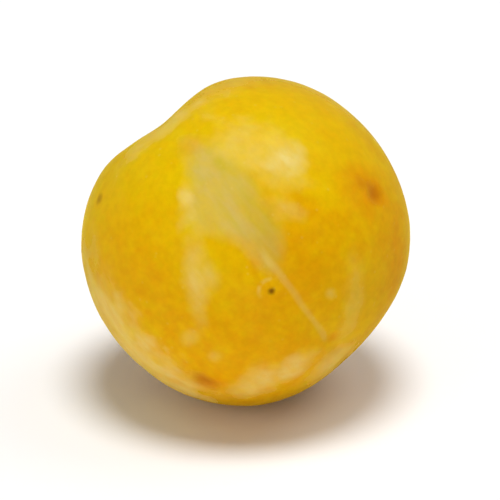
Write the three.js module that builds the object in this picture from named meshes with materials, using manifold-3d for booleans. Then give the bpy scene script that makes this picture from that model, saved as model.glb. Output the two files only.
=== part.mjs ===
// A round yellow dessert plum, grown as one body. It lies on a small flat spot, with its stem
// hollow up and to the left and its seam in front. Millimetres, +Z up, origin in the middle of
// the flat spot.

import * as THREE from 'three';
import { mergeVertices } from 'three/addons/utils/BufferGeometryUtils.js';
import Module from 'manifold-3d';

const degree = Math.PI / 180;

// The ball that the fruit swells from, and how thick it is from its seam to its back.
const bodyRadius = 22.25;
const seamToBackRatio = 0.985;

// The shoulders are a broad swelling around the stem end, at this angle from the stem.
const shoulderRise = 2;
const shoulderAngle = 40 * degree;
const shoulderSpread = 45 * degree;

// The far end is blunt, and its middle leans towards one cheek.
const tipDrop = 2.25;
const tipSpread = 36 * degree;
const tipLean = 7.5 * degree;

// The hollow at the stem end is an open dish with a small pit, where the stem stood.
const dishDepth = 3.6;
const dishRadius = 5.5;
const pitDepth = 1.6;
const pitRadius = 2.4;

// The seam is a wide valley at the stem end and a thin groove by the time it nears the tip.
const seamDepthAtStem = 0.55;
const seamDepthAtTip = 0.3;
const seamHalfWidthAtStem = 3.7;
const seamHalfWidthAtTip = 1.4;

// One cheek is a little fuller than the other, and the back is faintly flattened low down.
const cheekRise = 0.25;
const cheekSpread = 40 * degree;
const backDrop = 0.35;
const backSpread = 32 * degree;

// How it lies: where the stem end points, and which way the seam faces.
const stemWay = new THREE.Vector3(-0.614, 0.334, 0.715).normalize();
const seamWay = new THREE.Vector3(0.053, -0.888, 0.458);

// The resting spot is flattened by this much below the round of the fruit.
const restSag = 0.46;

// Fineness of the surface. The meridians crowd towards the seam by this share.
const meridians = 72;
const rings = 52;
const seamCrowding = 0.45;

// A direction on the fruit as it grew, from its angle off the stem and its angle around it.
function growingWay(fromStem, around) {
  const level = Math.sin(fromStem);
  return new THREE.Vector3(
    level * Math.cos(around),
    level * Math.sin(around),
    Math.cos(fromStem),
  );
}

const stemEnd = growingWay(0, 0);
const tipEnd = growingWay(180 * degree - tipLean, 90 * degree);
const fullCheek = growingWay(95 * degree, -80 * degree);
const flatBack = growingWay(120 * degree, 180 * degree);

// 1 in the middle, fading smoothly to nothing about twice the width away.
function swell(distance, width) {
  return Math.exp(-((distance / width) ** 2));
}

// How deep the seam lies in a direction, on its own side of the fruit only.
function seamDepth(way) {
  const towardsTip = way.angleTo(stemEnd) / Math.PI;
  const depth = THREE.MathUtils.lerp(seamDepthAtStem, seamDepthAtTip, towardsTip);
  const halfWidth = THREE.MathUtils.lerp(seamHalfWidthAtStem, seamHalfWidthAtTip, towardsTip);
  const onSeamSide = THREE.MathUtils.smoothstep(way.x, 0, 0.3);
  return depth * onSeamSide * swell(way.y * bodyRadius, halfWidth);
}

// The distance from the middle of the fruit to its skin, before the stem hollow.
function skinRadius(way) {
  const shoulder = shoulderRise * swell(way.angleTo(stemEnd) - shoulderAngle, shoulderSpread);
  const tip = tipDrop * swell(way.angleTo(tipEnd), tipSpread);
  const cheek = cheekRise * swell(way.angleTo(fullCheek), cheekSpread);
  const back = backDrop * swell(way.angleTo(flatBack), backSpread);
  return bodyRadius + shoulder - tip + cheek - back - seamDepth(way);
}

// A point of the skin as the fruit grew: stem along +Z, seam along +X.
function skinPoint(way) {
  const point = way.clone().multiplyScalar(skinRadius(way));
  point.x *= seamToBackRatio;
  if (point.z > 0) {
    const fromStemLine = Math.hypot(point.x, point.y);
    point.z -= dishDepth * swell(fromStemLine, dishRadius);
    point.z -= pitDepth * swell(fromStemLine, pitRadius);
  }
  return point;
}

// A closed geometry with only its corner points, each held once.
function bare(geometry) {
  geometry.deleteAttribute('normal');
  geometry.deleteAttribute('uv');
  return mergeVertices(geometry);
}

// The skin as a closed mesh of rings around the stem line, as the fruit grew.
function growSkin() {
  const ball = new THREE.SphereGeometry(1, meridians, rings);
  ball.rotateX(90 * degree);
  const skin = bare(ball);
  const positions = skin.getAttribute('position');
  const way = new THREE.Vector3();
  for (let i = 0; i < positions.count; i += 1) {
    way.fromBufferAttribute(positions, i).normalize();
    const around = Math.atan2(way.y, way.x);
    const crowded = growingWay(way.angleTo(stemEnd), around - seamCrowding * Math.sin(around));
    positions.setXYZ(i, ...skinPoint(crowded));
  }
  return skin;
}

// Turns the skin from the way it grew to the way it lies, with its lowest point at -restSag.
function layDown(skin) {
  const sideWay = stemWay.clone().cross(seamWay).normalize();
  const frontWay = sideWay.clone().cross(stemWay);
  skin.applyMatrix4(new THREE.Matrix4().makeBasis(frontWay, sideWay, stemWay));
  skin.computeBoundingBox();
  skin.translate(0, 0, -skin.boundingBox.min.z - restSag);
}

// A closed geometry as a solid that can be cut.
function toSolid(wasm, geometry) {
  return new wasm.Manifold(new wasm.Mesh({
    numProp: 3,
    vertProperties: Float32Array.from(geometry.getAttribute('position').array),
    triVerts: Uint32Array.from(geometry.getIndex().array),
  }));
}

// A cut solid as a geometry again.
function toGeometry(solid) {
  const mesh = solid.getMesh();
  const geometry = new THREE.BufferGeometry();
  geometry.setAttribute('position', new THREE.BufferAttribute(mesh.vertProperties, 3));
  geometry.setIndex(new THREE.BufferAttribute(mesh.triVerts, 1));
  return geometry;
}

// Cuts away what is below Z = 0, which leaves the flat spot.
function cutRestingSpot(wasm, skin) {
  const side = 4 * bodyRadius;
  const ground = new THREE.BoxGeometry(side, side, side);
  ground.translate(0, 0, -side / 2);
  return toGeometry(toSolid(wasm, skin).subtract(toSolid(wasm, bare(ground))));
}

// Moves the fruit so that the middle of its flat spot is the origin.
function centreOnRestingSpot(fruit) {
  const flatWithin = 1e-4;
  const positions = fruit.getAttribute('position');
  const spot = new THREE.Box3();
  const point = new THREE.Vector3();
  for (let i = 0; i < positions.count; i += 1) {
    point.fromBufferAttribute(positions, i);
    if (Math.abs(point.z) < flatWithin) {
      spot.expandByPoint(point);
    }
  }
  const middle = spot.getCenter(new THREE.Vector3());
  fruit.translate(-middle.x, -middle.y, 0);
}

async function makePlum() {
  const wasm = await Module();
  wasm.setup();
  const skin = growSkin();
  layDown(skin);
  const fruit = cutRestingSpot(wasm, skin);
  centreOnRestingSpot(fruit);
  fruit.computeVertexNormals();
  const ripeSkin = new THREE.MeshStandardMaterial({
    color: 0xdba716,
    roughness: 0.42,
    metalness: 0,
  });
  const plum = new THREE.Mesh(fruit, ripeSkin);
  plum.name = 'plum';
  return plum;
}

const part = new THREE.Group();
part.add(await makePlum());

export default part;
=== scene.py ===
# A ripe yellow plum with its bloom half rubbed off, lying on a pale floor.
# Metres, +X right, +Y away, +Z up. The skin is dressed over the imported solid.
import math

import bpy
from mathutils import Matrix, Vector


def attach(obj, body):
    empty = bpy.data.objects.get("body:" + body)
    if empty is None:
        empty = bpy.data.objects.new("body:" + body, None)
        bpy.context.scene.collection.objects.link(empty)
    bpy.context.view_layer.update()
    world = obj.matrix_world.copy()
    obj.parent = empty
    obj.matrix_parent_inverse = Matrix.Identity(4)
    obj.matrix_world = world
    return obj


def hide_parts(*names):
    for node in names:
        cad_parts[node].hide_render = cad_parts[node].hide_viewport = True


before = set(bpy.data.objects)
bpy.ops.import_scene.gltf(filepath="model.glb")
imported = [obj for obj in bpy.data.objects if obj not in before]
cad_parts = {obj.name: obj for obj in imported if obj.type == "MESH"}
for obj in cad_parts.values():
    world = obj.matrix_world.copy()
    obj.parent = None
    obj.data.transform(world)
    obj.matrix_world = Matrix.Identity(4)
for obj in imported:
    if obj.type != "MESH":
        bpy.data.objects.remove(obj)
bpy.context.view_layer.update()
mm = 0.001

# How the fruit lies: the point it swelled from, where its stem end looks, where its seam faces.
fruitPlace = {
    "middle": Vector((1.45, 0.14, 21.43)) * mm,
    "stemWay": Vector((-0.614, 0.334, 0.715)).normalized(),
    "seamWay": Vector((0.053, -0.888, 0.458)),
    "skinRadius": 22.5 * mm,
}
sideWay = fruitPlace["stemWay"].cross(fruitPlace["seamWay"]).normalized()
frontWay = sideWay.cross(fruitPlace["stemWay"])
fruitTurn = Matrix((frontWay, sideWay, fruitPlace["stemWay"])).transposed()
print("frame loaded")


# Fruit directions: the stem is +Z and the seam +X, angles in degrees off the stem and around.
def growingWay(fromStem, around):
    off = math.radians(fromStem)
    turn = math.radians(around)
    return Vector((math.sin(off) * math.cos(turn), math.sin(off) * math.sin(turn), math.cos(off)))


stemEnd = Vector((0, 0, 1))


# Helpers for working in edit mode.
def only(piece):
    if bpy.context.object and bpy.context.object.mode != "OBJECT":
        bpy.ops.object.mode_set(mode="OBJECT")
    bpy.ops.object.select_all(action="DESELECT")
    piece.select_set(True)
    bpy.context.view_layer.objects.active = piece


def pickPoints(piece, wanted):
    only(piece)
    bpy.ops.object.mode_set(mode="EDIT")
    bpy.ops.mesh.select_mode(type="VERT")
    bpy.ops.mesh.select_all(action="DESELECT")
    bpy.ops.object.mode_set(mode="OBJECT")
    for point in piece.data.vertices:
        point.select = wanted(point.co)
    bpy.ops.object.mode_set(mode="EDIT")


def pickFaces(piece, wanted):
    only(piece)
    bpy.ops.object.mode_set(mode="EDIT")
    bpy.ops.mesh.select_mode(type="FACE")
    bpy.ops.mesh.select_all(action="DESELECT")
    bpy.ops.object.mode_set(mode="OBJECT")
    for face in piece.data.polygons:
        face.select = wanted(face.center)
    bpy.ops.object.mode_set(mode="EDIT")


def applyModifier(piece, modifier):
    only(piece)
    bpy.ops.object.modifier_apply(modifier=modifier.name)


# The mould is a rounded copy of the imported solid, and the fine skin is drawn down onto it.
mouldMesh = {
    "mergeWithin": 0.002 * mm,
    "roundings": 2,
}


def makeMould(node):
    only(node)
    bpy.ops.object.duplicate()
    mould = bpy.context.object
    mould.name = "mould"
    bpy.ops.object.mode_set(mode="EDIT")
    bpy.ops.mesh.select_all(action="SELECT")
    bpy.ops.mesh.remove_doubles(threshold=mouldMesh["mergeWithin"])
    bpy.ops.mesh.tris_convert_to_quads()
    bpy.ops.object.mode_set(mode="OBJECT")
    rounding = mould.modifiers.new("rounding", "SUBSURF")
    rounding.levels = mouldMesh["roundings"]
    rounding.render_levels = mouldMesh["roundings"]
    applyModifier(mould, rounding)
    return mould


# The skin starts as a ball around the mould, with a finer strip along the seam.
skinMesh = {
    "segments": 288,
    "rings": 176,
    "startRadius": 30 * mm,
    "stripHalfWidth": 6.5 * mm,
    "stripStart": 30,  # degrees off the stem
    "stripEnd": 145,
    "levelBelow": 0.004 * mm,
}

# Places where the skin is finer, as degrees off the stem, degrees around, reach in degrees.
finePlaces = {
    "prick": (105.7, -8.1, 6),
    "russetDimple": (99.7, 50.3, 7),
    "lowScab": (117.6, -58.5, 6),
    "blossomScar": (139.2, 1.0, 6),
}


def makeBall():
    bpy.ops.object.select_all(action="DESELECT")
    bpy.ops.mesh.primitive_uv_sphere_add(
        segments=skinMesh["segments"],
        ring_count=skinMesh["rings"],
        radius=skinMesh["startRadius"],
        location=fruitPlace["middle"],
        rotation=fruitTurn.to_euler(),
    )
    ball = bpy.context.object
    ball.name = "plum_skin"
    pickFaces(ball, lambda spot: abs(spot.y) < skinMesh["stripHalfWidth"] and spot.x > 0
              and skinMesh["stripStart"] < math.degrees(spot.angle(stemEnd)) < skinMesh["stripEnd"])
    bpy.ops.mesh.subdivide(number_cuts=1)
    for fromStem, around, reach in finePlaces.values():
        way = growingWay(fromStem, around)
        pickFaces(ball, lambda spot: math.degrees(spot.angle(way)) < reach)
        bpy.ops.mesh.subdivide(number_cuts=1)
    bpy.ops.object.mode_set(mode="OBJECT")
    return ball


def drawOnto(skin, mould):
    drawn = skin.modifiers.new("drawn", "SHRINKWRAP")
    drawn.target = mould
    drawn.wrap_method = "PROJECT"
    drawn.use_negative_direction = True
    drawn.use_positive_direction = False
    applyModifier(skin, drawn)
    bpy.data.objects.remove(mould)


# Broad and fine unevenness of the flesh under the skin.
swellings = {
    "broadSwell": {"size": 11 * mm, "height": 0.28 * mm},
    "fineSwell": {"size": 2.8 * mm, "height": 0.05 * mm},
}


def swellSkin(skin):
    for name, swelling in swellings.items():
        lumps = bpy.data.textures.new(name, type="CLOUDS")
        lumps.noise_scale = swelling["size"]
        lumps.noise_depth = 1
        uneven = skin.modifiers.new(name, "DISPLACE")
        uneven.texture = lumps
        uneven.texture_coords = "LOCAL"
        uneven.strength = swelling["height"]
        uneven.mid_level = 0.5
        applyModifier(skin, uneven)


# The crease along the bottom of the seam, pressed twice so that it fades at its ends.
seamCrease = {
    "presses": ((76, 139, 0.03 * mm), (90, 134, 0.06 * mm)),  # degrees off the stem, and depth
    "reach": 0.9 * mm,
    "around": math.radians(-1.875),
    "halfWidth": 0.02 * mm,
}


def pressCrease(skin):
    acrossCrease = Vector((-math.sin(seamCrease["around"]), math.cos(seamCrease["around"]), 0))
    for fromEnd, toEnd, depth in seamCrease["presses"]:
        pickPoints(skin, lambda spot: abs(spot.dot(acrossCrease)) < seamCrease["halfWidth"] and spot.x > 0
                   and fromEnd < math.degrees(spot.angle(stemEnd)) < toEnd)
        bpy.ops.transform.shrink_fatten(
            value=-depth,
            use_proportional_edit=True,
            proportional_edit_falloff="SMOOTH",
            proportional_size=seamCrease["reach"],
        )


# Dents: degrees off the stem, degrees around, depth and reach. A rim has a negative depth.
dents = {
    "prick": (105.7, -8.1, 0.18 * mm, 0.5 * mm),
    "prickRim": (105.7, -8.1, -0.05 * mm, 1.6 * mm),
    "russetDimple": (100.8, 50.2, 0.35 * mm, 2.4 * mm),
    "russetCore": (101.4, 50.6, 0.15 * mm, 0.9 * mm),
    "lowScab": (116.7, -58.9, 0.18 * mm, 1.4 * mm),
    "blossomScar": (139.2, 1.0, 0.12 * mm, 1.1 * mm),
}
samePoint = 0.01 * mm


def pressDent(skin, place):
    fromStem, around, depth, reach = place
    way = growingWay(fromStem, around)
    nearest = max(skin.data.vertices, key=lambda point: point.co.normalized().dot(way)).co.copy()
    pickPoints(skin, lambda spot: (spot - nearest).length < samePoint)
    bpy.ops.transform.translate(
        value=fruitTurn @ way * -depth,
        use_proportional_edit=True,
        proportional_edit_falloff="SMOOTH",
        proportional_size=reach,
    )


# The hole that the stalk left at the bottom of the stem hollow. A step is a depth and a narrowing.
stalkHole = {
    "radius": 1.15 * mm,
    "steps": ((0.12 * mm, 0.86), (0.45 * mm, 0.90), (0.35 * mm, 0.72), (-0.12 * mm, 0.55)),
}


def sinkStalkHole(skin):
    pickFaces(skin, lambda spot: math.hypot(spot.x, spot.y) < stalkHole["radius"] and spot.z > 0)
    for depth, narrowing in stalkHole["steps"]:
        bpy.ops.mesh.extrude_region_move(
            TRANSFORM_OT_translate={"value": fruitPlace["stemWay"] * -depth}
        )
        bpy.ops.transform.resize(value=(narrowing, narrowing, narrowing))
    bpy.ops.object.mode_set(mode="OBJECT")


def flattenRestingSpot(skin):
    # What would dip under the floor is pressed level with it.
    only(skin)
    bpy.ops.object.transform_apply(location=True, rotation=True, scale=True)
    pickPoints(skin, lambda spot: spot.z < skinMesh["levelBelow"])
    bpy.ops.transform.resize(value=(1, 1, 0), center_override=(0, 0, 0))
    bpy.ops.object.mode_set(mode="OBJECT")


def makeSkin():
    skin = makeBall()
    drawOnto(skin, makeMould(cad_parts["plum"]))
    print("skin drawn over the solid:", len(skin.data.polygons), "faces")
    swellSkin(skin)
    pressCrease(skin)
    for place in dents.values():
        pressDent(skin, place)
    sinkStalkHole(skin)
    flattenRestingSpot(skin)
    only(skin)
    bpy.ops.object.shade_smooth()
    print("skin shaped:", [round(side / mm, 2) for side in skin.dimensions], "mm")
    return skin


# Materials.
def newMaterial(name):
    material = bpy.data.materials.new(name)
    material.use_nodes = True
    tree = material.node_tree
    return material, tree, tree.nodes["Principled BSDF"]


def addNode(tree, kind, **settings):
    node = tree.nodes.new("ShaderNode" + kind)
    for setting, value in settings.items():
        setattr(node, setting, value)
    return node


def put(tree, value, socket):
    # A number or colour is set on the socket, and another node's output is linked to it.
    if isinstance(value, bpy.types.NodeSocket):
        tree.links.new(value, socket)
    else:
        socket.default_value = value


def calculate(tree, operation, first, second=0.0, third=0.0, clamped=False):
    node = addNode(tree, "Math", operation=operation, use_clamp=clamped)
    for value, socket in zip((first, second, third), node.inputs):
        put(tree, value, socket)
    return node.outputs[0]


def times(tree, *shares):
    product = shares[0]
    for share in shares[1:]:
        product = calculate(tree, "MULTIPLY", product, share)
    return product


def greatest(tree, *masks):
    most = masks[0]
    for mask in masks[1:]:
        most = calculate(tree, "MAXIMUM", most, mask)
    return most


# A ramp runs smoothly from low, where the value is start, to high, where it is end. The dictionaries
# below give a ramp as its start and end, and its low and high unless they are 0 and 1.
def rampBetween(tree, value, start, end, low=0.0, high=1.0):
    node = addNode(tree, "MapRange", interpolation_type="SMOOTHSTEP")
    names = ("Value", "From Min", "From Max", "To Min", "To Max")
    for number, name in zip((value, start, end, low, high), names):
        put(tree, number, node.inputs[name])
    return node.outputs["Result"]


def blendColours(tree, share, under, over):
    node = addNode(tree, "Mix", data_type="RGBA", blend_type="MIX")
    put(tree, share, node.inputs[0])
    put(tree, under, node.inputs[6])
    put(tree, over, node.inputs[7])
    return node.outputs[2]


# Blotches in the skin. Size is the width of a typical one. Less than 1 at the end of stretch draws
# them out along the stem line.
blotches = {
    "broad": {"size": 12 * mm, "detail": 1},
    "patchy": {"size": 3.0 * mm, "detail": 3.5, "rough": 0.6},
    "mottle": {"size": 1.3 * mm, "detail": 2.5, "rough": 0.6},
    "tints": {"size": 1.7 * mm, "rough": 0.6},
    "seamStreaks": {"size": 2.0 * mm, "stretch": (1, 1, 0.22)},
    "clouds": {"size": 4.5 * mm, "detail": 3, "rough": 0.6, "stretch": (1, 1, 0.55)},
    "wisps": {"size": 1.8 * mm, "detail": 4, "rough": 0.6, "stretch": (1, 1, 0.4)},
    "ragged": {"size": 2.2 * mm, "detail": 4, "rough": 0.6},
    "soft": {"size": 3.5 * mm, "detail": 1.5},
    "grain": {"size": 0.35 * mm},
}


def noise(tree, place, name):
    blotch = blotches[name]
    if "stretch" in blotch:
        squeeze = addNode(tree, "Mapping")
        squeeze.inputs["Scale"].default_value = blotch["stretch"]
        put(tree, place, squeeze.inputs["Vector"])
        place = squeeze.outputs[0]
    node = addNode(tree, "TexNoise")
    put(tree, place, node.inputs["Vector"])
    node.inputs["Scale"].default_value = 1 / blotch["size"]
    node.inputs["Detail"].default_value = blotch.get("detail", 2.0)
    node.inputs["Roughness"].default_value = blotch.get("rough", 0.5)
    return node.outputs["Fac"]


# A soft-edged spot: the unit ball around the origin of its vector, with an edge that wanders.
def makeSpotGroup():
    group = bpy.data.node_groups.new("softSpot", "ShaderNodeTree")
    face = group.interface
    face.new_socket("Place", in_out="INPUT", socket_type="NodeSocketVector")
    face.new_socket("Wander", in_out="INPUT", socket_type="NodeSocketFloat")
    face.new_socket("Softness", in_out="INPUT", socket_type="NodeSocketFloat")
    face.new_socket("Strength", in_out="INPUT", socket_type="NodeSocketFloat")
    face.new_socket("Mask", in_out="OUTPUT", socket_type="NodeSocketFloat")
    given = group.nodes.new("NodeGroupInput")
    result = group.nodes.new("NodeGroupOutput")
    far = addNode(group, "VectorMath", operation="LENGTH")
    group.links.new(given.outputs["Place"], far.inputs[0])
    wandered = calculate(group, "ADD", far.outputs["Value"], given.outputs["Wander"])
    outer = calculate(group, "ADD", 1.0, given.outputs["Softness"])
    inner = calculate(group, "SUBTRACT", 1.0, given.outputs["Softness"])
    mask = rampBetween(group, wandered, outer, inner)
    group.links.new(calculate(group, "MULTIPLY", mask, given.outputs["Strength"]), result.inputs["Mask"])
    return group


spotGroup = makeSpotGroup()


# What a spot is unless it says otherwise. Its middle lies at this radius from the fruit's middle.
usualSpot = {
    "lean": 0,
    "soft": 0.95,
    "ragged": 1.5,
    "strength": 1.0,
    "radius": fruitPlace["skinRadius"],
    "depth": 6 * mm,
}


def spotMask(tree, fruitPoint, wander, ownValues):
    # Length runs along the lean, which is the turn from the line towards the tip.
    spot = usualSpot | ownValues
    fromStem, around = spot["at"]
    out = growingWay(fromStem, around)
    alongTip = growingWay(fromStem + 90, around)
    aside = out.cross(alongTip)
    lean = math.radians(spot["lean"])
    along = alongTip * math.cos(lean) + aside * math.sin(lean)
    across = out.cross(along)
    place = addNode(tree, "Mapping", vector_type="TEXTURE")
    place.inputs["Location"].default_value = out * spot["radius"]
    place.inputs["Rotation"].default_value = Matrix((out, along, across)).transposed().to_euler()
    length, width = spot["size"]
    place.inputs["Scale"].default_value = (spot["depth"], length * mm / 2, width * mm / 2)
    put(tree, fruitPoint, place.inputs["Vector"])
    node = tree.nodes.new("ShaderNodeGroup")
    node.node_tree = spotGroup
    put(tree, place.outputs[0], node.inputs["Place"])
    put(tree, times(tree, wander, spot["ragged"]), node.inputs["Wander"])
    node.inputs["Softness"].default_value = spot["soft"]
    node.inputs["Strength"].default_value = spot["strength"]
    return node.outputs["Mask"]


def spotMasks(tree, fruitPoint, wander, spots):
    return greatest(tree, *[spotMask(tree, fruitPoint, wander, spot) for spot in spots.values()])


# Spots by kind. At: degrees off the stem and around. Size: mm along the lean and across it.
# Pale bloom spots; a few of them are also a painted highlight.
bloomAndHighlightSpots = {
    # Pale bloom with a painted highlight, on the left lobe beside the seam.
    "brightDabAndHighlight": {"at": (61.4, -11.8), "size": (3.0, 2.0), "lean": -35, "ragged": 4.0, "strength": 1.1},
    "dabBelow": {"at": (67.5, -15.5), "size": (2.4, 1.4), "lean": -50, "ragged": 4.0, "strength": 0.55},
    "besideSeam": {"at": (85.0, 13.5), "size": (4.2, 2.6), "lean": 40, "ragged": 3.0, "strength": 0.55},
    "downStroke": {"at": (85.5, -26.5), "size": (10.0, 2.7), "lean": -38, "soft": 0.8, "strength": 0.9},
    "downStrokeElbow": {"at": (86.0, -22.5), "size": (3.4, 2.6), "soft": 0.9, "strength": 0.6},
    "leftSide": {"at": (92, -84), "size": (29, 18), "soft": 0.30},
    "leftSideEdge": {"at": (90, -68), "size": (22, 6), "soft": 0.9, "strength": 0.6},
    "underStreak": {"at": (133, -46), "size": (4.5, 8), "soft": 0.9},
    "underStreakTwo": {"at": (138, -28), "size": (4, 6), "soft": 0.9},
    "underTip": {"at": (158, -14), "size": (7, 8), "soft": 0.9, "strength": 0.8},
    "rightStroke": {"at": (133, 16.5), "size": (11, 3.0), "lean": -28, "soft": 0.9, "strength": 0.35},
    "rightShoulder": {"at": (58, 79), "size": (16, 5), "soft": 0.9, "strength": 0.4},
    "hollowRim": {"at": (28, 2), "size": (12, 3.2), "lean": 90, "ragged": 3.5, "strength": 0.8},
    "crownRim": {"at": (33, 54), "size": (14, 5), "lean": 60, "strength": 0.35},
    # Pale bloom with a painted highlight on the crown, and the highlight's paler tail.
    "crownBloomAndHighlight": {"at": (71.0, 24.8), "size": (5.2, 4.0), "lean": 57, "ragged": 2.0, "strength": 1.75},
    "crownBloomAndHighlightTail": {"at": (63, 20.5), "size": (11, 5.6), "ragged": 2.5, "strength": 0.65},
    "paleDot": {"at": (120.9, 10.1), "size": (1.3, 1.1), "soft": 0.9, "strength": 0.5},
    "lowDot": {"at": (100.4, -44), "size": (1.8, 2.6), "strength": 0.4},
    "lowDotTwo": {"at": (111.6, -43), "size": (1.6, 1.8), "strength": 0.4},
}

goldSpots = {
    "dimpleHalo": {"at": (98.5, 48.0), "size": (7.5, 5.5), "lean": 45, "strength": 0.75},
    "scabHalo": {"at": (120.5, -54), "size": (4, 7), "strength": 0.5},
    "rightBlush": {"at": (130, 56), "size": (13, 5), "strength": 0.5},
    "leftBlush": {"at": (62, -48), "size": (16, 12), "strength": 0.30},
    "lowBlush": {"at": (112, -38), "size": (18, 18), "strength": 0.15},
    "blossomScar": {"at": (139.4, 1.0), "size": (1.7, 1.5), "soft": 0.9, "strength": 0.5},
    "seamCorner": {"at": (45.5, 3), "size": (3.2, 2.4), "strength": 0.35},
}

russetAndDarkerSpots = {
    "dimple": {"at": (100.8, 50.2), "size": (2.8, 2.5), "strength": 0.70},
    "dimpleCore": {"at": (101.4, 50.6), "size": (1.2, 1.1), "strength": 0.6},
    "dimpleTail": {"at": (94.5, 46.0), "size": (2.0, 1.8), "strength": 0.35},
    # Beside the thread the skin is only made a little darker.
    "darkerBesideThread": {"at": (100, 8), "size": (13, 9), "ragged": 2.5, "strength": 0.10},
    "scab": {"at": (116.7, -58.9), "size": (3.6, 2.8), "strength": 0.75},
}

brightSpots = {
    "crown": {"at": (64, 50), "size": (26, 24), "ragged": 2.5, "strength": 0.75},
}

greenSpots = {
    "hollowTint": {"at": (38, -26), "size": (20, 26), "ragged": 2.5, "strength": 0.45},
    "crownTint": {"at": (62, 27), "size": (15, 12), "ragged": 2.5, "strength": 0.5},
    "strokeTint": {"at": (84, -22), "size": (10, 8), "strength": 0.45},
    "rightTint": {"at": (132, 22), "size": (15, 9), "strength": 0.3},
}

# The insect's prick with its faint broken ring, and a small freckle.
prick = {
    "hole": {"at": (105.7, -8.1), "size": (0.85, 0.9), "soft": 0.7, "ragged": 1.6, "strength": 0.85,
             "radius": 22.0 * mm, "depth": 2 * mm},
    "freckle": {"at": (40.0, -58.2), "size": (1.2, 1.4), "strength": 0.55},
    "ring": {"at": (105.3, -8.3), "radius": 22.0 * mm, "reach": 1.6 * mm, "width": 0.5 * mm,
             "strength": 0.22, "arc": (-0.4, 1.2), "broken": (0.38, 0.55)},
}

# How far the bloom in the seam valley reaches to its two sides, by height on the stem line, in mm.
seamBand = {
    "heights": (18.5, 16.8, 14.0, 11.2, 9.6, 7.5, 4.3, 1.8, -0.1, -2.2, -4.2, -8.0),
    "toTheRight": (-0.6, 1.9, 3.3, 3.9, 4.1, 3.8, 3.4, 3.3, 2.7, 1.2, -0.2, -3.0),
    "toTheLeft": (-0.6, 0.3, 1.7, 3.4, 5.2, 5.7, 3.7, 2.3, 1.7, 1.3, 0.8, -3.0),
    "curveSpan": 12.0,  # mm from the bottom to the top of the curves for the two sides
    "seamSide": (2.0, 8.0),  # mm to the front, where the seam's side of the fruit starts
    "softness": 1.6,
    "wander": 2.4,
    "film": (0.25, 0.72, 0.44, 0.68),
    "thinAtRight": (-5.0, -1.0, 0.65, 1.0),
    "thinAtTop": (18.0, 13.0, 0.35, 1.0),
    # The olive side: olive skin, darker still as painted shade on the valley's right wall.
    "oliveAndShadeLean": -0.14,
    "oliveAndShadeFrom": (-1.1, 0.5),
    "oliveAndShadeShare": 0.5,
    "streaks": (2.4, -1.0),  # share and what is added
}

ripeColours = {
    "bright": (0.745, 0.450, 0.001, 1),
    "lemon": (0.704, 0.431, 0.001, 1),
    "amber": (0.676, 0.330, 0.0005, 1),
    "green": (0.652, 0.463, 0.001, 1),
    "gold": (0.704, 0.260, 0.001, 1),
    "russet": (0.430, 0.105, 0.001, 1),
    "brown": (0.180, 0.062, 0.002, 1),
    # Also the colour of the painted highlight spots.
    "bloom": (0.740, 0.590, 0.195, 1),
    "seamPale": (0.530, 0.420, 0.142, 1),
    # Olive, darkened as painted shade for the valley's right wall.
    "seamOliveAndShade": (0.472, 0.392, 0.038, 1),
}


def heightCurve(tree, height, values):
    # A smooth curve through the values, read by height. Both are in millimetres.
    heights = seamBand["heights"]
    low, high = min(heights), max(heights)
    span = seamBand["curveSpan"]
    node = addNode(tree, "FloatCurve")
    curve = node.mapping.curves[0]
    while len(curve.points) < len(values):
        curve.points.new(0.5, 0.5)
    for point, (at, value) in zip(curve.points, sorted(zip(heights, values))):
        point.location = ((at - low) / (high - low), 0.5 + value / span)
    node.mapping.update()
    share = addNode(tree, "MapRange")
    for number, name in zip((height, low, high), ("Value", "From Min", "From Max")):
        put(tree, number, share.inputs[name])
    put(tree, share.outputs["Result"], node.inputs["Value"])
    return calculate(tree, "MULTIPLY_ADD", node.outputs[0], span, -0.5 * span)


def fruitCoordinates(tree):
    # The place on the fruit as it grew: stem along Z, seam along X, from the middle of the fruit.
    looks = addNode(tree, "TexCoord")
    turned = addNode(tree, "Mapping", vector_type="TEXTURE")
    turned.inputs["Location"].default_value = fruitPlace["middle"]
    turned.inputs["Rotation"].default_value = fruitTurn.to_euler()
    put(tree, looks.outputs["Object"], turned.inputs["Vector"])
    parts = addNode(tree, "SeparateXYZ")
    put(tree, turned.outputs[0], parts.inputs[0])
    spot = {"point": turned.outputs[0]}
    for axis, name in zip("XYZ", ("front", "across", "height")):
        spot[name] = times(tree, parts.outputs[axis], 1 / mm)
    return spot


def seamMask(tree, spot, drift, beyond, softness):
    # Between the two wandering edges of the valley's bloom, or this far beyond them, in mm.
    edges = []
    for side, values in ((-1, seamBand["toTheRight"]), (1, seamBand["toTheLeft"])):
        reach = calculate(tree, "ADD", heightCurve(tree, spot["height"], values), drift)
        inside = calculate(tree, "MULTIPLY_ADD", spot["across"], side, reach)
        edges.append(rampBetween(tree, inside, -beyond - softness, softness - beyond))
    return times(tree, *edges, rampBetween(tree, spot["front"], *seamBand["seamSide"]))


# The bare skin. How ripe it is goes by height in mm, broad clouds and smaller patches.
bareSkin = {
    "ripeHeights": (15.0, -10.0),
    "byHeight": 0.6,
    "byClouds": (0.9, -0.2),  # share and what is added
    "byPatches": 2.2,
    "unripe": -1.1,
    "greenBesideSeam": 3.5,
    "greenHeights": (-2.0, 8.0, 0.0, 0.5),
    "hues": (0.3, 0.7, 0.497, 0.5035),
    "values": (0.3, 0.7, 0.96, 1.035),
}


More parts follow.
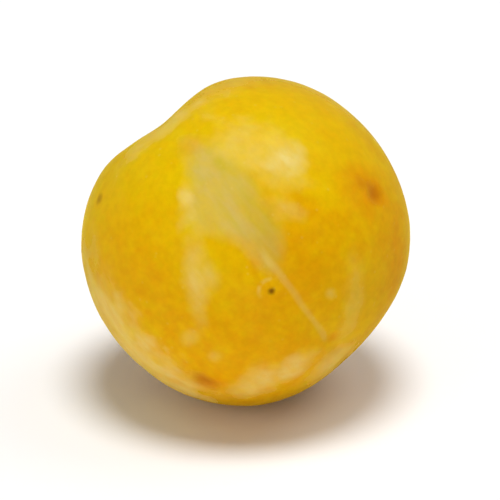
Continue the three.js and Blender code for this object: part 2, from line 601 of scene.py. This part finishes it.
def bareSkinColour(tree, spot, wander):
    # Lemon at the stem end and amber low down, with brighter, greener and redder places.
    point = spot["point"]
    clouds = calculate(tree, "MULTIPLY_ADD", noise(tree, point, "broad"), *bareSkin["byClouds"])
    sunk = rampBetween(tree, spot["height"], *bareSkin["ripeHeights"])
    ripeness = calculate(tree, "MULTIPLY_ADD", sunk, bareSkin["byHeight"], clouds)
    ripeness = calculate(tree, "ADD", ripeness, bareSkin["unripe"])
    ripeness = calculate(tree, "MULTIPLY_ADD", noise(tree, point, "patchy"), bareSkin["byPatches"],
                         ripeness, clamped=True)
    colour = blendColours(tree, ripeness, ripeColours["lemon"], ripeColours["amber"])
    bright = spotMasks(tree, point, wander, brightSpots)
    colour = blendColours(tree, bright, colour, ripeColours["bright"])
    beyond = bareSkin["greenBesideSeam"]
    aroundSeam = times(tree, seamMask(tree, spot, 0.0, beyond, beyond),
                       rampBetween(tree, spot["height"], *bareSkin["greenHeights"]))
    green = greatest(tree, spotMasks(tree, point, wander, greenSpots), aroundSeam)
    colour = blendColours(tree, green, colour, ripeColours["green"])
    gold = spotMasks(tree, point, wander, goldSpots)
    colour = blendColours(tree, gold, colour, ripeColours["gold"])
    # Fine mottling, a little lighter and darker, greener and redder.
    mottled = addNode(tree, "HueSaturation")
    put(tree, rampBetween(tree, noise(tree, point, "tints"), *bareSkin["hues"]), mottled.inputs["Hue"])
    put(tree, rampBetween(tree, noise(tree, point, "mottle"), *bareSkin["values"]), mottled.inputs["Value"])
    put(tree, colour, mottled.inputs["Color"])
    return mottled.outputs["Color"]


def seamBloomAndShadeColour(tree, spot):
    # Pale streaks and an olive side that is partly painted shade on the valley's right wall, all running
    # down the valley.
    streaks = noise(tree, spot["point"], "seamStreaks")
    oliveAndShadeSide = calculate(tree, "MULTIPLY_ADD", spot["height"], seamBand["oliveAndShadeLean"], spot["across"])
    oliveAndShade = rampBetween(tree, oliveAndShadeSide, *seamBand["oliveAndShadeFrom"])
    share = calculate(tree, "MULTIPLY_ADD", oliveAndShade, seamBand["oliveAndShadeShare"],
                      calculate(tree, "MULTIPLY_ADD", streaks, *seamBand["streaks"]), clamped=True)
    return blendColours(tree, share, ripeColours["seamPale"], ripeColours["seamOliveAndShade"])


# The pale thread along the bottom of the seam, from the valley's end to the blossom scar, in mm.
seamThread = {
    "toTheLeft": 0.7,
    "wander": 0.7,
    "width": (0.75, 0.05),
    "tipEnd": (-16.4, -15.0),
    "stemEnd": (1.0, -3.0),
    "strength": (-9.0, -1.0, 0.42, 0.70),
    "opacity": 0.8,
}


def seamThreadMask(tree, spot, wander):
    offCrease = calculate(tree, "ADD", spot["across"], seamThread["toTheLeft"])
    wandered = calculate(tree, "MULTIPLY_ADD", wander, seamThread["wander"], offCrease)
    thread = rampBetween(tree, calculate(tree, "ABSOLUTE", wandered), *seamThread["width"])
    reach = times(tree, *[rampBetween(tree, spot["height"], *seamThread[end])
                          for end in ("tipEnd", "stemEnd", "strength")])
    return times(tree, thread, reach, rampBetween(tree, spot["front"], *seamBand["seamSide"]))


# Streaky clouds of bloom, mostly rubbed off on the side that was handled.
rubbedClouds = {
    "handledSide": (92, 6),  # degrees off the stem and around
    "kept": (4 * mm, -7 * mm, 0.02, 1.0),
    "clouds": (0.46, 0.66, 0.0, 0.8),
}


def rubbedCloudMask(tree, spot):
    towardsHandled = addNode(tree, "VectorMath", operation="DOT_PRODUCT")
    put(tree, spot["point"], towardsHandled.inputs[0])
    towardsHandled.inputs[1].default_value = growingWay(*rubbedClouds["handledSide"])
    kept = rampBetween(tree, towardsHandled.outputs["Value"], *rubbedClouds["kept"])
    clouds = rampBetween(tree, noise(tree, spot["point"], "clouds"), *rubbedClouds["clouds"])
    return times(tree, clouds, kept)


# Brown in the stalk hole, a corky edge, and a warmer ring outside it, by mm from the stem line.
stemScar = {
    "brown": (1.8, 0.6),
    "corky": (2.6, 1.4, 0.0, 0.6),
    "warm": (5.0, 1.8, 0.0, 0.45),
    "heights": (2.0, 6.0),
    "wander": 1.6,
}


def stemScarMasks(tree, spot, wander):
    flat = addNode(tree, "CombineXYZ")
    put(tree, spot["front"], flat.inputs["X"])
    put(tree, spot["across"], flat.inputs["Y"])
    off = addNode(tree, "VectorMath", operation="LENGTH")
    put(tree, flat.outputs[0], off.inputs[0])
    fromHole = calculate(tree, "MULTIPLY_ADD", wander, stemScar["wander"], off.outputs["Value"])
    atStem = rampBetween(tree, spot["height"], *stemScar["heights"])
    return [times(tree, rampBetween(tree, fromHole, *stemScar[ring]), atStem)
            for ring in ("brown", "corky", "warm")]


def prickRingMask(tree, spot, ragged):
    # A faint broken arc on the stem's side of the prick.
    ring = prick["ring"]
    middle = growingWay(*ring["at"]) * ring["radius"]
    away = addNode(tree, "VectorMath", operation="DISTANCE")
    put(tree, spot["point"], away.inputs[0])
    away.inputs[1].default_value = middle
    off = calculate(tree, "ABSOLUTE", calculate(tree, "SUBTRACT", away.outputs["Value"], ring["reach"]))
    line = rampBetween(tree, off, ring["width"], 0.0, 0.0, ring["strength"])
    arc = rampBetween(tree, spot["height"], *[middle.z / mm + step for step in ring["arc"]])
    return times(tree, line, arc, rampBetween(tree, ragged, *ring["broken"]))


# Bloom is dry and dull, and bare skin has a waxy gloss. Relief is in hundredths of a millimetre.
skinFinish = {
    "streakyFilm": (0.25, 0.72, 0.55, 1.15),
    "filmOpacity": 0.52,
    "dotSpacing": 1.9 * mm,
    "dots": (0.17, 0.03, 0.0, 0.10),
    "roughness": (0.0, 1.0, 0.22, 0.60),
    "grainRoughness": 0.06,
    "grainRelief": 1.2,
    "raggedRelief": 3.0,
    "bloomRelief": 1.0,
    "dotRelief": -6.0,
    "reliefUnit": 0.01 * mm,
    "reliefStrength": 0.6,
}

# The same all over the skin, set on the shader's own sockets.
skinShader = {
    "IOR": 1.22,
    "Specular IOR Level": 0.30,
    "Specular Tint": (1.0, 0.91, 0.36, 1),
    "Subsurface Weight": 0.22,
    "Subsurface Radius": (1.0, 0.42, 0.06),
    "Subsurface Scale": 4 * mm,
    "Sheen Weight": 0.35,
    "Sheen Roughness": 0.22,
    "Sheen Tint": (1.0, 0.83, 0.10, 1),
}


def makeRipeSkin():
    material, tree, shader = newMaterial("ripeSkin")
    spot = fruitCoordinates(tree)
    point = spot["point"]
    wisps = noise(tree, point, "wisps")
    ragged = noise(tree, point, "ragged")
    grain = noise(tree, point, "grain")
    # Less its middle value, a noise strays both ways.
    wander = calculate(tree, "SUBTRACT", ragged, 0.5)
    drift = calculate(tree, "SUBTRACT", noise(tree, point, "soft"), 0.5)
    colour = bareSkinColour(tree, spot, drift)

    # The film of bloom, streaky inside, with the painted highlight spots in it.
    bandDrift = times(tree, drift, seamBand["wander"])
    band = seamMask(tree, spot, bandDrift, 0.0, seamBand["softness"])
    bandFilm = times(tree, band, rampBetween(tree, wisps, *seamBand["film"]),
                     rampBetween(tree, spot["across"], *seamBand["thinAtRight"]),
                     rampBetween(tree, spot["height"], *seamBand["thinAtTop"]))
    # The bloom mask also holds the painted highlight spots.
    bloom = greatest(tree, spotMasks(tree, point, drift, bloomAndHighlightSpots), rubbedCloudMask(tree, spot))
    bloom = times(tree, bloom, rampBetween(tree, wisps, *skinFinish["streakyFilm"]))
    thread = times(tree, seamThreadMask(tree, spot, drift), seamThread["opacity"])
    bloom = greatest(tree, bloom, thread)
    film = calculate(tree, "MULTIPLY", bloom, skinFinish["filmOpacity"], clamped=True)
    # The seam valley's bloom, its olive side partly painted shade.
    colour = blendColours(tree, bandFilm, colour, seamBloomAndShadeColour(tree, spot))
    colour = blendColours(tree, film, colour, ripeColours["bloom"])

    # Fine pale breathing dots all over.
    dots = addNode(tree, "TexVoronoi", feature="F1")
    dots.inputs["Scale"].default_value = 1 / skinFinish["dotSpacing"]
    put(tree, point, dots.inputs["Vector"])
    dotMask = rampBetween(tree, dots.outputs["Distance"], *skinFinish["dots"])
    colour = blendColours(tree, dotMask, colour, ripeColours["bloom"])
    colour = blendColours(tree, prickRingMask(tree, spot, ragged), colour, ripeColours["bloom"])

    # Scars: russet, the prick, and the brown around the stalk hole. Beside the thread the russet colour only
    # makes the skin a little darker.
    russet = spotMasks(tree, point, wander, russetAndDarkerSpots)
    colour = blendColours(tree, russet, colour, ripeColours["russet"])
    for name in ("hole", "freckle"):
        mark = spotMask(tree, point, wander, prick[name])
        colour = blendColours(tree, mark, colour, ripeColours["brown"])
    brown, corky, warm = stemScarMasks(tree, spot, wander)
    for mask, name in ((warm, "gold"), (corky, "russet"), (brown, "brown")):
        colour = blendColours(tree, mask, colour, ripeColours[name])
    put(tree, colour, shader.inputs["Base Color"])

    dull = greatest(tree, bloom, band, russet, brown)
    roughness = rampBetween(tree, dull, *skinFinish["roughness"])
    put(tree, calculate(tree, "MULTIPLY_ADD", grain, skinFinish["grainRoughness"], roughness),
        shader.inputs["Roughness"])

    relief = times(tree, ragged, skinFinish["raggedRelief"])
    for mask, name in ((grain, "grainRelief"), (bloom, "bloomRelief"), (dotMask, "dotRelief")):
        relief = calculate(tree, "MULTIPLY_ADD", mask, skinFinish[name], relief)
    bump = addNode(tree, "Bump")
    bump.inputs["Strength"].default_value = skinFinish["reliefStrength"]
    bump.inputs["Distance"].default_value = skinFinish["reliefUnit"]
    put(tree, relief, bump.inputs["Height"])
    put(tree, bump.outputs["Normal"], shader.inputs["Normal"])

    for name, value in skinShader.items():
        shader.inputs[name].default_value = value
    return material


skin = makeSkin()
skin.data.materials.append(makeRipeSkin())
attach(skin, "root")
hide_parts("plum")
print("skin coloured")


# The studio: a plain white floor under a dim white sky.
studio = {
    "floorSide": 5.0,
    "floorColour": (0.97, 0.97, 0.97, 1),
    "floorInGloss": (0.50, 0.37, 0.08, 1),
    "floorRoughness": 0.7,
    "floorSpecular": 0.2,
    "skyColour": (1, 1, 1, 1),
    "skyStrength": 0.26,
    "skyInGloss": 0.18,
}

# Soft lamps that all face the fruit. The last one shows only as the highlight.
lamps = {
    "overhead": {"at": Vector((0.10, -0.20, 3.00)), "size": (1.30, 1.30), "power": 63.5},
    "rightBack": {"at": Vector((1.20, 0.50, 1.70)), "size": (1.30, 1.30), "power": 8.0},
    "leftFront": {"at": Vector((-1.60, -1.20, 0.70)), "size": (1.50, 1.50), "power": 5.7},
    "lowFront": {"at": Vector((-0.40, -1.80, 0.10)), "size": (1.80, 0.16), "power": 9.2},
    "gloss": {"at": Vector((0.48, 0.10, 1.70)), "size": (0.54, 0.17), "power": 12.0,
              "along": Vector((-0.22, 0.15, -0.02)), "glossOnly": True},
}


def makeFloor():
    bpy.ops.object.select_all(action="DESELECT")
    bpy.ops.mesh.primitive_plane_add(size=studio["floorSide"])
    floor = bpy.context.object
    floor.name = "floor"
    material, tree, shader = newMaterial("paleFloor")
    path = addNode(tree, "LightPath")
    colour = blendColours(tree, path.outputs["Is Glossy Ray"], studio["floorColour"], studio["floorInGloss"])
    put(tree, colour, shader.inputs["Base Color"])
    shader.inputs["Roughness"].default_value = studio["floorRoughness"]
    shader.inputs["Specular IOR Level"].default_value = studio["floorSpecular"]
    floor.data.materials.append(material)


def makeSky():
    # Lights the scene dimly, and looks white past the floor's edge.
    world = bpy.data.worlds.new("studio")
    bpy.context.scene.world = world
    world.use_nodes = True
    tree = world.node_tree
    sky = tree.nodes["Background"]
    sky.inputs["Color"].default_value = studio["skyColour"]
    path = addNode(tree, "LightPath")
    strength = rampBetween(tree, path.outputs["Is Glossy Ray"], 0.0, 1.0,
                           studio["skyStrength"], studio["skyInGloss"])
    put(tree, greatest(tree, strength, path.outputs["Is Camera Ray"]), sky.inputs["Strength"])


def addLamp(name, light):
    bpy.ops.object.light_add(type="AREA", location=light["at"])
    lamp = bpy.context.object
    lamp.name = name
    lamp.data.shape = "ELLIPSE"
    lamp.data.size, lamp.data.size_y = light["size"]
    lamp.data.energy = light["power"]
    glossOnly = light.get("glossOnly", False)
    lamp.visible_glossy = glossOnly
    lamp.visible_diffuse = not glossOnly
    lamp.visible_camera = False
    back = (light["at"] - fruitPlace["middle"]).normalized()
    side = light.get("along", Vector((1, 0, 0)))
    up = back.cross(side).normalized()
    lamp.rotation_euler = Matrix((up.cross(back), up, back)).transposed().to_euler()


# The camera looks along +Y from a little above.
cameraView = {
    "elevation": math.radians(25),
    "distance": 0.62,
    "frameWidth": 0.0700,
    "aim": Vector((0.0009, 0.0004, 0.0212)),
    "sensor": 36,
    "nearest": 0.01,
    "farthest": 10,
}


def makeCamera():
    back = Vector((0, -math.cos(cameraView["elevation"]), math.sin(cameraView["elevation"])))
    bpy.ops.object.camera_add(location=cameraView["aim"] + back * cameraView["distance"])
    camera = bpy.context.object
    camera.rotation_euler = (-back).to_track_quat("-Z", "Y").to_euler()
    camera.data.sensor_width = cameraView["sensor"]
    camera.data.lens = cameraView["sensor"] * cameraView["distance"] / cameraView["frameWidth"]
    camera.data.clip_start = cameraView["nearest"]
    camera.data.clip_end = cameraView["farthest"]
    bpy.context.scene.camera = camera


makeFloor()
makeSky()
for name, light in lamps.items():
    addLamp(name, light)
makeCamera()
bpy.context.scene.view_settings.view_transform = "Standard"
print("studio lit")
